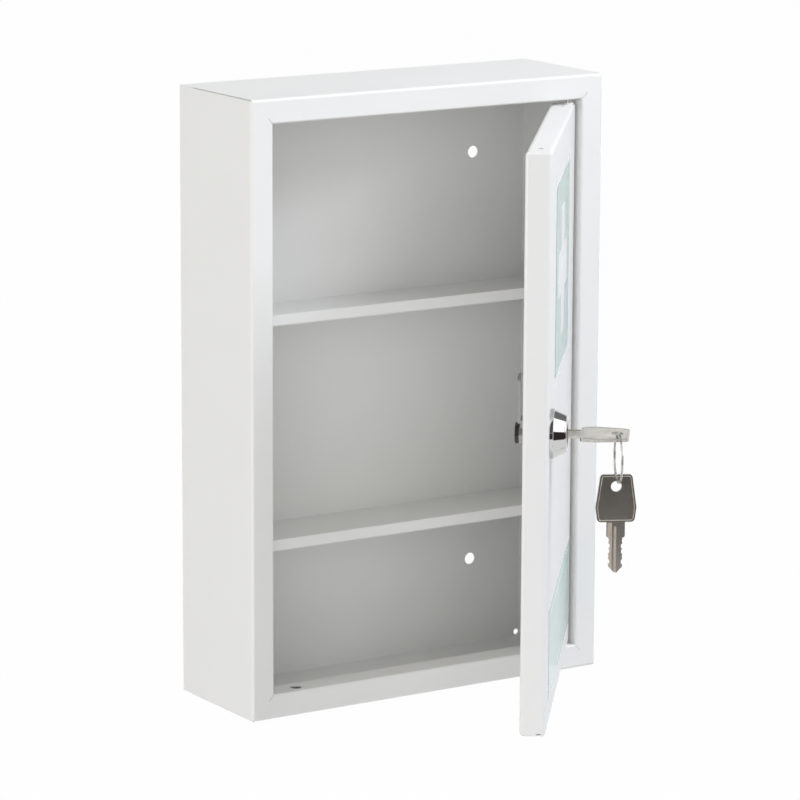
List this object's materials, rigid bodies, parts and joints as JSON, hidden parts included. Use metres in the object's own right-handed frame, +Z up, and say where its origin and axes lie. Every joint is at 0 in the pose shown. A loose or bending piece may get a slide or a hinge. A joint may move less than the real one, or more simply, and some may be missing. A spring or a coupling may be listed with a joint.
{
  "type": "medicine cabinet",
  "caption": "Wall-mounted steel medicine cabinet with shelves and an inset hinged door, held by a cam lock with its key in place and a spare key on a ring.",
  "frame": {"origin": "centre of the four wall holes, on the back face of the case", "axes": "+X to the right across the front, +Y into the wall, +Z up"},
  "size_m": [0.3, 0.333, 0.45],
  "materials": {
    "case_paint": "satin",
    "door_paint": "gloss",
    "zinc_steel": "satin",
    "lock_chrome": "polished",
    "nylon": "matte",
    "rubber_grey": "matte",
    "wafer_brass": "satin",
    "label_green": "gloss",
    "label_white": "gloss",
    "label_pale": "gloss",
    "key_nickel": "brushed",
    "spare_key_nickel": "satin",
    "ring_steel": "polished"
  },
  "bodies": {
    "cabinet": {"case_back": "case_paint", "case_left": "case_paint", "case_right": "case_paint", "case_top": "case_paint", "case_bottom": "case_paint", "upper_shelf": "case_paint", "lower_shelf": "case_paint", "door_stops": "case_paint", "stop_buffers": "rubber_grey", "upper_hinge_pin": "zinc_steel", "lower_hinge_pin": "zinc_steel"},
    "door": {"door_pan": "door_paint", "upper_hinge_bush": "nylon", "lower_hinge_bush": "nylon", "cross_label": "label_green", "label_cross": "label_white", "lower_label": "label_pale", "lock_rosette": "lock_chrome", "lock_barrel": "zinc_steel", "lock_washer": "zinc_steel", "lock_nut": "zinc_steel"},
    "lock_core": {"lock_plug": "zinc_steel", "lock_wafers": "wafer_brass", "wafer_springs": "zinc_steel", "lock_cam": "zinc_steel", "cam_washer": "zinc_steel", "cam_screw": "zinc_steel"},
    "inserted_key": {"key": "key_nickel"},
    "ring": {"key_ring": "ring_steel"},
    "hanging_key": {"spare_key": "spare_key_nickel"}
  },
  "joints": [
    {"name": "door_hinge", "type": "hinge", "parent": "cabinet", "child": "door", "pos_m": [0.1228, -0.0975, 0], "axis": [0, 0, 1], "range_deg": [-51.6, 68.4]},
    {"name": "lock_turn", "type": "hinge", "parent": "door", "child": "lock_core", "pos_m": [-0.01517, -0.27882, 0.005], "axis": [0.7837, -0.6211, 0], "range_deg": [-6, 84]},
    {"name": "key_slide", "type": "slide", "parent": "lock_core", "child": "inserted_key", "axis": [0.7837, -0.6211, 0], "range_m": [0, 0.03]},
    {"name": "ring_hang", "type": "hinge", "parent": "inserted_key", "child": "ring", "pos_m": [0.01666, -0.3124, 0.00029], "axis": [0.7837, -0.6211, 0], "range_deg": [-84, 6]},
    {"name": "spare_key_swing", "type": "hinge", "parent": "ring", "child": "hanging_key", "pos_m": [0.01538, -0.31654, -0.0262], "axis": [-0.4509, -0.8926, 0], "range_deg": [-45, 60]}
  ],
  "couplings": [
    {"joint": "ring_hang", "follows": "lock_turn", "ratio": -1}
  ]
}
